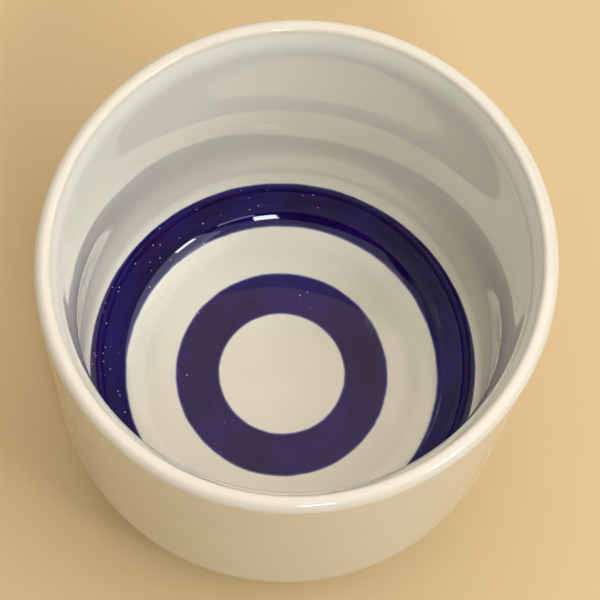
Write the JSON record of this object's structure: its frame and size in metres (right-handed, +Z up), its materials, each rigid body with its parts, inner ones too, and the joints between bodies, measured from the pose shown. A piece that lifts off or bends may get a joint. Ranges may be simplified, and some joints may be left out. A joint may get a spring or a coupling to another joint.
{
  "type": "sake cup",
  "caption": "Small straight-sided porcelain sake cup with a rounded lip, a foot ring and blue snake's-eye rings on the white inside floor, for judging the drink.",
  "frame": {"origin": "centre of the foot ring's resting face, in the plane of the table", "axes": "+Z up along the cup's axis, out of the mouth; X and Y are free, because the cup is round"},
  "size_m": [0.066, 0.066, 0.0574],
  "materials": {
    "porcelain": "bare fired porcelain, matte and finely gritty",
    "clear_glaze": "glossy clear glaze on warm white porcelain",
    "cobalt": "glossy cobalt blue under the glaze"
  },
  "bodies": {
    "root": {"porcelain_body": "porcelain", "glaze_coat": "clear_glaze", "base_glaze": "clear_glaze", "outer_blue_ring": "cobalt", "inner_blue_ring": "cobalt"}
  },
  "joints": []
}
